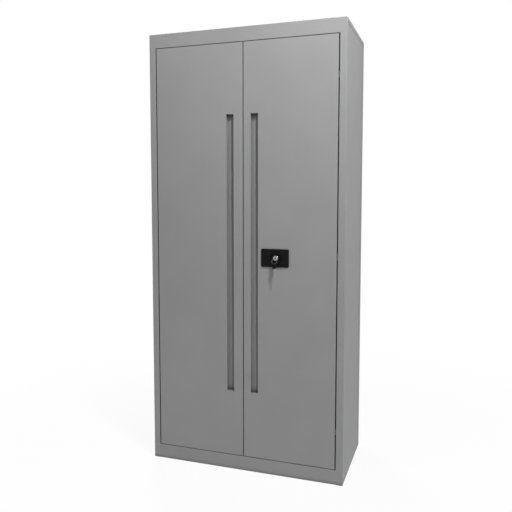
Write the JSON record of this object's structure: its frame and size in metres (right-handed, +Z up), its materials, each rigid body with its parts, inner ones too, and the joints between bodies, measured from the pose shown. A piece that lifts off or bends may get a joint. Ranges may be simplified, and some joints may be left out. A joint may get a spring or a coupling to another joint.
{
  "type": "storage cabinet",
  "caption": "Tall sheet steel storage cabinet with two flush hinged doors, long recessed pulls, a key lock with rods and loose shelves inside.",
  "frame": {"origin": "on the floor, under the middle of the case's width and depth", "axes": "+Z up, front with the doors towards -Y, +X to the right as seen from the front"},
  "size_m": [0.915, 0.4922, 1.996],
  "materials": {
    "powder_coat": "fine textured grey powder coat, satin",
    "black_plastic": "black moulded plastic, satin",
    "chromed_zinc": "bright chrome plate",
    "nickel_steel": "nickel-plated steel with fine scratches",
    "zinc_steel": "zinc-plated steel, dull",
    "buffer_rubber": "soft matt rubber"
  },
  "bodies": {
    "cabinet": {"left_side_panel": "powder_coat", "right_side_panel": "powder_coat", "roof_panel": "powder_coat", "roof_stiffener": "powder_coat", "top_rail": "powder_coat", "plinth_rail": "powder_coat", "back_panel": "powder_coat", "back_stiffeners": "powder_coat", "base_panel": "powder_coat", "rear_base_rail": "powder_coat", "base_corner_plates": "powder_coat", "left_front_upright": "powder_coat", "right_front_upright": "powder_coat", "left_rear_upright": "powder_coat", "right_rear_upright": "powder_coat", "shelf_clips": "zinc_steel", "door_buffers": "buffer_rubber", "left_frame_hinge_leaves": "zinc_steel", "right_frame_hinge_leaves": "zinc_steel"},
    "left_door": {"left_door_skin": "powder_coat", "left_pull_channel": "powder_coat", "left_door_stiffener": "powder_coat", "left_door_hinge_plates": "zinc_steel", "left_hinge_pins": "zinc_steel", "door_bolt_guides": "black_plastic"},
    "right_door": {"right_door_skin": "powder_coat", "right_pull_channel": "powder_coat", "right_door_stiffener": "powder_coat", "right_door_hinge_plates": "zinc_steel", "right_hinge_pins": "zinc_steel", "lock_plate": "black_plastic", "lock_barrel": "chromed_zinc", "lock_case": "zinc_steel", "upper_rod_guides": "black_plastic", "lower_rod_guides": "black_plastic"},
    "lock_core": {"lock_plug": "nickel_steel", "crank_disc": "zinc_steel", "crank_nut": "zinc_steel"},
    "key_in_lock": {"lock_key": "nickel_steel"},
    "ring": {"key_ring": "nickel_steel"},
    "spare_key": {"spare_key_head": "black_plastic", "spare_key_blade": "nickel_steel"},
    "upper_rod": {"upper_lock_rod": "zinc_steel"},
    "lower_rod": {"lower_lock_rod": "zinc_steel"},
    "upper_bolt": {"upper_door_bolt": "zinc_steel"},
    "lower_bolt": {"lower_door_bolt": "zinc_steel"},
    "shelf_1": {"shelf_1": "powder_coat"},
    "shelf_2": {"shelf_2": "powder_coat"},
    "shelf_3": {"shelf_3": "powder_coat"},
    "shelf_4": {"shelf_4": "powder_coat"}
  },
  "joints": [
    {"name": "left_door_hinge", "type": "hinge", "parent": "cabinet", "child": "left_door", "pos_m": [-0.4145, -0.222, 1], "axis": [0, 0, -1], "range_deg": [0, 105]},
    {"name": "right_door_hinge", "type": "hinge", "parent": "cabinet", "child": "right_door", "pos_m": [0.4145, -0.222, 1], "axis": [0, 0, 1], "range_deg": [0, 105]},
    {"name": "lock_turn", "type": "hinge", "parent": "right_door", "child": "lock_core", "pos_m": [0.1535, -0.229, 0.988], "axis": [0, -1, 0], "range_deg": [0, 90]},
    {"name": "upper_rod_slide", "type": "slide", "parent": "right_door", "child": "upper_rod", "axis": [0, 0, 1], "range_m": [0, 0.01697]},
    {"name": "lower_rod_slide", "type": "slide", "parent": "right_door", "child": "lower_rod", "axis": [0, 0, -1], "range_m": [0, 0.0175]},
    {"name": "key_pull", "type": "slide", "parent": "lock_core", "child": "key_in_lock", "axis": [0, -1, 0], "range_m": [0, 0.03]},
    {"name": "key_ring_swing", "type": "hinge", "parent": "key_in_lock", "child": "ring", "pos_m": [0.1535, -0.2543, 0.988], "axis": [1, 0, 0], "range_deg": [-45, 6]},
    {"name": "spare_key_swing", "type": "hinge", "parent": "ring", "child": "spare_key", "pos_m": [0.1535, -0.2543, 0.965], "axis": [0.766, -0.6428, 0], "range_deg": [-45, 4]},
    {"name": "upper_bolt_slide", "type": "slide", "parent": "left_door", "child": "upper_bolt", "axis": [0, 0, 1], "range_m": [0, 0.015]},
    {"name": "lower_bolt_slide", "type": "slide", "parent": "left_door", "child": "lower_bolt", "axis": [0, 0, -1], "range_m": [0, 0.015]},
    {"name": "shelf_1_lift", "type": "slide", "parent": "cabinet", "child": "shelf_1", "axis": [0, 0, 1], "range_m": [0, 0.03]},
    {"name": "shelf_2_lift", "type": "slide", "parent": "cabinet", "child": "shelf_2", "axis": [0, 0, 1], "range_m": [0, 0.03]},
    {"name": "shelf_3_lift", "type": "slide", "parent": "cabinet", "child": "shelf_3", "axis": [0, 0, 1], "range_m": [0, 0.03]},
    {"name": "shelf_4_lift", "type": "slide", "parent": "cabinet", "child": "shelf_4", "axis": [0, 0, 1], "range_m": [0, 0.03]}
  ],
  "couplings": [
    {"joint": "lock_turn", "follows": "upper_rod_slide", "rad_per_m": 92.56},
    {"joint": "lower_rod_slide", "follows": "upper_rod_slide", "ratio": 1}
  ]
}
